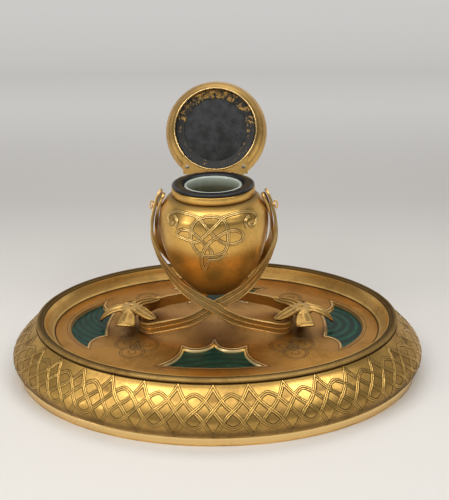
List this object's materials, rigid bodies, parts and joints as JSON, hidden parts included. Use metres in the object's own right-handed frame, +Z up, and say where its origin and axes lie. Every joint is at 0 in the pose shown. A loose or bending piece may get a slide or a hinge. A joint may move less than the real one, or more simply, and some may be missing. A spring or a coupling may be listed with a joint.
{
  "type": "desk inkstand",
  "caption": "Oval desk inkstand: moulded foot, pierced plate over stone slabs, and a round ink pot with a hinged lid, hung between crossing straps.",
  "frame": {"origin": "centre of the oval foot, on the table", "axes": "+X to the right along the oval's length, -Y to the front, +Z up"},
  "size_m": [0.293, 0.2182, 0.1913],
  "materials": {
    "gilt": "worn gilding over bronze",
    "gilt_plate": "stippled matt gilding",
    "brass": "plain, dulled",
    "malachite": "polished, banded",
    "black_glass": "polished",
    "pale_glass": "polished",
    "lining": "dull",
    "steel": "plain"
  },
  "bodies": {
    "stand": {"foot_border": "gilt", "tray_rim": "gilt", "tray_plate": "gilt_plate", "bed_plate": "brass", "malachite_front": "malachite", "malachite_back": "malachite", "malachite_left": "malachite", "malachite_right": "malachite", "ribbon_front_left": "gilt", "ribbon_front_right": "gilt", "ribbon_back_left": "gilt", "ribbon_back_right": "gilt", "leaf_left": "gilt", "leaf_right": "gilt", "stud_left": "brass", "stud_right": "brass", "nut_left": "brass", "nut_right": "brass", "screw_front_left": "steel", "screw_front_right": "steel", "screw_back_left": "steel", "screw_back_right": "steel", "eye_pin_left": "gilt", "eye_pin_right": "gilt", "pot_body": "gilt", "pot_collar": "gilt", "liner_ring": "black_glass", "collar_hinge_leaf": "gilt", "hinge_pin": "steel", "glass_liner": "pale_glass"},
    "lid": {"lid_hinge_leaf": "gilt", "lid_shell": "gilt", "lid_lining": "lining"}
  },
  "joints": [
    {"name": "lid_hinge", "type": "hinge", "parent": "stand", "child": "lid", "pos_m": [0, 0.0322, 0.1328], "axis": [-1, 0, 0], "range_deg": [-113, 0]}
  ]
}
